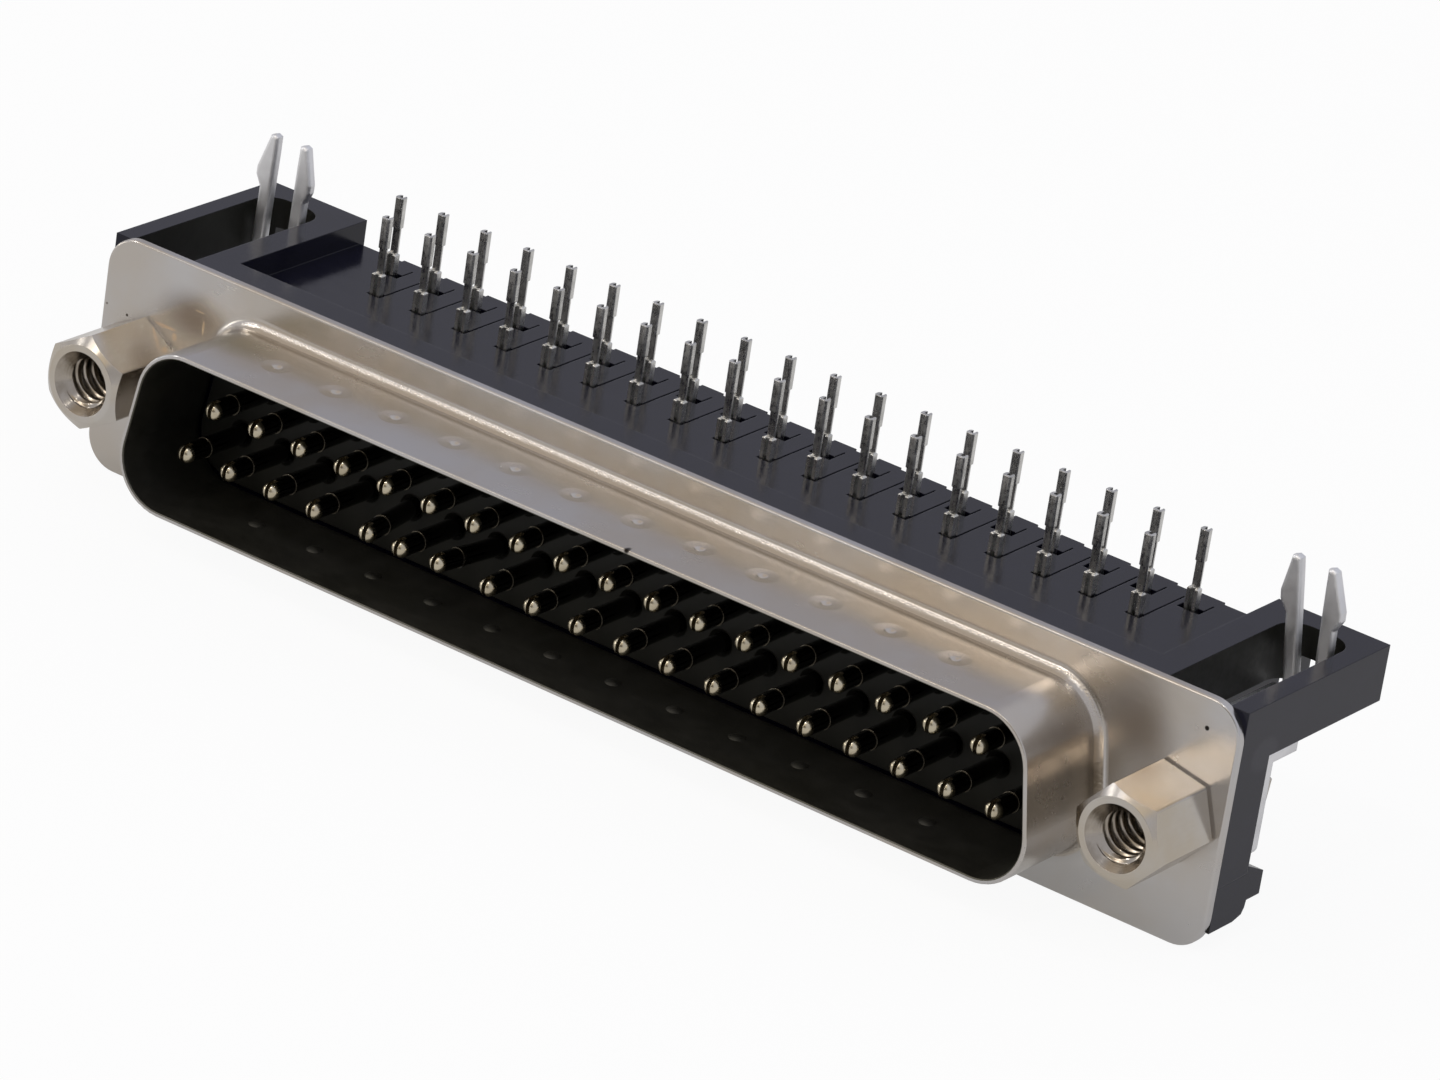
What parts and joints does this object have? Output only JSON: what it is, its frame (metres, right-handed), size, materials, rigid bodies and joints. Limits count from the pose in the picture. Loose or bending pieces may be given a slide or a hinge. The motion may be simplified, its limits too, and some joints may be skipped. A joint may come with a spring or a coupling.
{
  "type": "d-sub connector",
  "caption": "Right-angle board-mount D-sub plug: pins in a plated steel D shell, black plastic body, hex jackscrews and barbed board locks",
  "frame": {"origin": "centre of the flange's front face, midway between the two jackscrews", "axes": "+X along the connector, to the right seen from the mating side; -Y out of the mating face; +Z towards the circuit board and the solder tails"},
  "size_m": [0.0694, 0.019, 0.0165],
  "materials": {
    "plated_steel_shell": "nickel plated, drawn sheet, lightly scuffed",
    "black_plastic": "moulded, glossy, bluish black",
    "contact_metal": "thin gold on the pins, bright tin on the tails",
    "tinned_lock": "tinned stamped strip with soft edges",
    "nickel_screw": "nickel plated, turned"
  },
  "bodies": {
    "root": {"board_lock_left": "tinned_lock", "board_lock_right": "tinned_lock", "contact_01": "contact_metal", "contact_02": "contact_metal", "contact_03": "contact_metal", "contact_04": "contact_metal", "contact_05": "contact_metal", "contact_06": "contact_metal", "contact_07": "contact_metal", "contact_08": "contact_metal", "contact_09": "contact_metal", "contact_10": "contact_metal", "contact_11": "contact_metal", "contact_12": "contact_metal", "contact_13": "contact_metal", "contact_14": "contact_metal", "contact_15": "contact_metal", "contact_16": "contact_metal", "contact_17": "contact_metal", "contact_18": "contact_metal", "contact_19": "contact_metal", "contact_20": "contact_metal", "contact_21": "contact_metal", "contact_22": "contact_metal", "contact_23": "contact_metal", "contact_24": "contact_metal", "contact_25": "contact_metal", "contact_26": "contact_metal", "contact_27": "contact_metal", "contact_28": "contact_metal", "contact_29": "contact_metal", "contact_30": "contact_metal", "contact_31": "contact_metal", "contact_32": "contact_metal", "contact_33": "contact_metal", "contact_34": "contact_metal", "contact_35": "contact_metal", "contact_36": "contact_metal", "contact_37": "contact_metal", "front_insulator": "black_plastic", "front_shell": "plated_steel_shell", "jackscrew_left": "nickel_screw", "jackscrew_right": "nickel_screw", "lock_nut_left": "nickel_screw", "lock_nut_right": "nickel_screw", "rear_housing": "black_plastic"}
  },
  "joints": []
}
